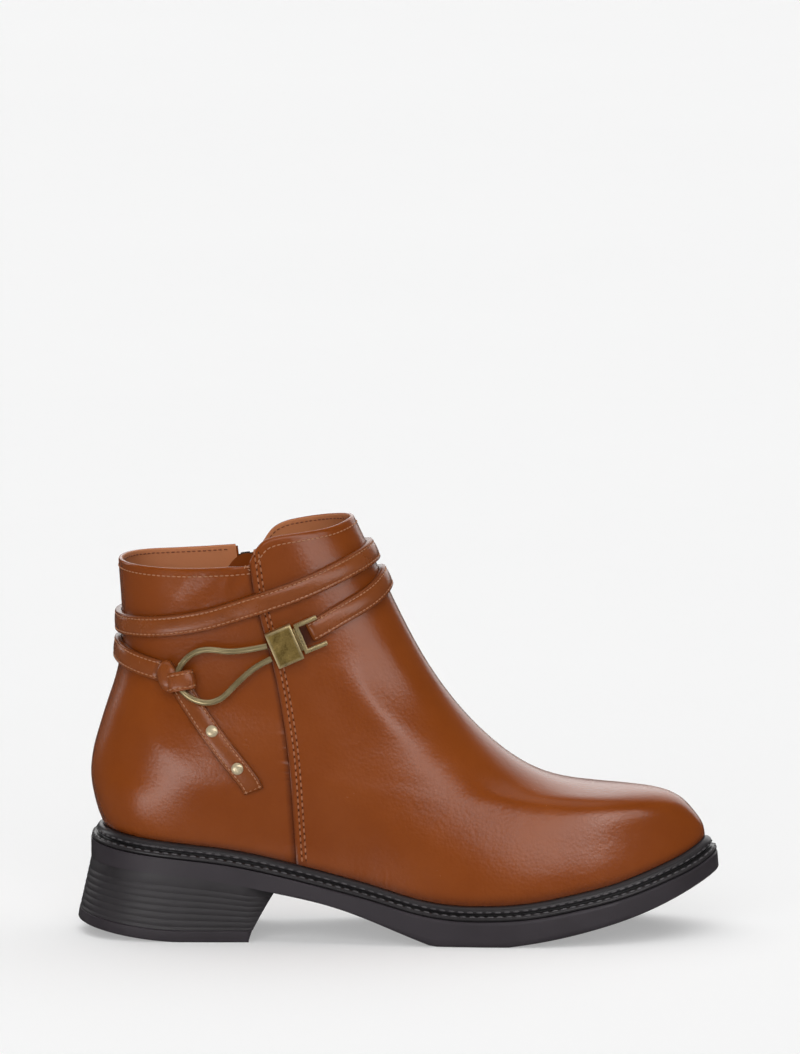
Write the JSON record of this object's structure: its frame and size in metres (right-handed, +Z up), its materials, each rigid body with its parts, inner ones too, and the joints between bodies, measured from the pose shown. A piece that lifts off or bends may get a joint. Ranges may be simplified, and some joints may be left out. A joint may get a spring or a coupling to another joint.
{
  "type": "buckle ankle boot",
  "caption": "Right ankle boot in tan leather with a low block heel, inner side zip, wrap-around ankle straps, a pear-shaped hook clasp and a riveted hanging strap end.",
  "frame": {"origin": "on the floor, under the middle of the boot's box", "axes": "+X toward the toe, +Z up, the outer side of the right boot toward -Y"},
  "size_m": [0.265, 0.0942, 0.1735],
  "materials": {
    "tan_leather": "smooth, satin gloss",
    "strap_leather": "smooth, satin gloss",
    "lining": "matt",
    "black_rubber": "satin",
    "sole_rubber": "matt",
    "antique_brass": "antiqued, brushed",
    "pale_brass": "polished",
    "zip_tape": "woven"
  },
  "bodies": {
    "boot": {"outsole": "sole_rubber", "welt": "black_rubber", "insole": "lining", "heel_block": "black_rubber", "top_piece": "sole_rubber", "upper": "tan_leather", "zip_chain": "zip_tape", "zip_guard": "tan_leather", "zip_slider": "antique_brass", "strap_upper": "strap_leather", "strap_front": "strap_leather", "strap_rear": "strap_leather", "strap_tail": "strap_leather", "rivet_1": "pale_brass", "rivet_2": "pale_brass", "hook_wire": "antique_brass", "strap_knot": "strap_leather", "clasp_block": "antique_brass", "strap_bracket": "antique_brass"},
    "pull_tab": {"zip_pull": "antique_brass"}
  },
  "joints": [
    {"name": "pull_tab_swing", "type": "hinge", "parent": "boot", "child": "pull_tab", "pos_m": [-0.06282, 0.03693, 0.14719], "axis": [0.9899, 0.006, 0.1416], "range_deg": [0, 150]}
  ]
}
